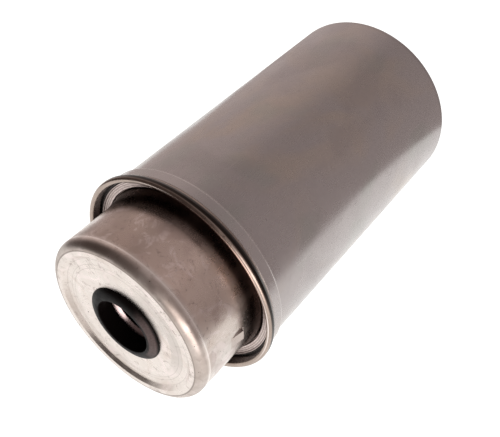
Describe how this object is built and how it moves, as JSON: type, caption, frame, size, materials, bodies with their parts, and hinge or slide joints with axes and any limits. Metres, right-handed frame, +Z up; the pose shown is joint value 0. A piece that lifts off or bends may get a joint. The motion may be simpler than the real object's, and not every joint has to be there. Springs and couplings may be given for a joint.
{
  "type": "fuel filter",
  "caption": "Quick-lock fuel filter cartridge lying on its side: painted steel can, stepped tinplate cap, rolled rim, rubber spigot grommet and a pleated element on a spring inside.",
  "frame": {"origin": "middle of the cartridge's length, straight below its axis, on the surface that the rim lies on", "axes": "+Y along the can's axis from the cap towards the closed end, +X to the right seen from the cap, +Z up"},
  "size_m": [0.084, 0.1622, 0.084],
  "materials": {
    "grey_paint": "satin grey enamel with faint mottling and fine scratches",
    "tinplate": "drawn bright tinplate with warm stains and smudges",
    "rubber": "moulded black rubber with a soft sheen and dust",
    "plastisol": "cured orange-brown plastisol, slightly rough",
    "filter_paper": "resin-treated pleated paper, matt",
    "spring_steel": "oiled dark spring wire",
    "thread": "white cotton thread with glue"
  },
  "bodies": {
    "housing": {"outer_can": "grey_paint", "rim_ring": "tinplate", "seam_compound": "plastisol", "flange_seal": "rubber", "top_cap": "tinplate", "grommet": "rubber", "spring": "spring_steel"},
    "element": {"spring_seat": "tinplate", "lower_end_disc": "tinplate", "lower_potting": "plastisol", "pleated_media": "filter_paper", "seam_clip": "tinplate", "pleat_band_1": "thread", "pleat_band_2": "thread", "pleat_band_3": "thread", "centre_tube": "tinplate", "upper_potting": "plastisol", "upper_end_disc": "tinplate", "neck_tube": "tinplate"}
  },
  "joints": [
    {"name": "element_float", "type": "slide", "parent": "housing", "child": "element", "axis": [0, 1, 0], "range_m": [0, 0.003], "stiffness_N_per_m": 3000, "springref_m": -0.005, "deforming": ["spring"]}
  ]
}
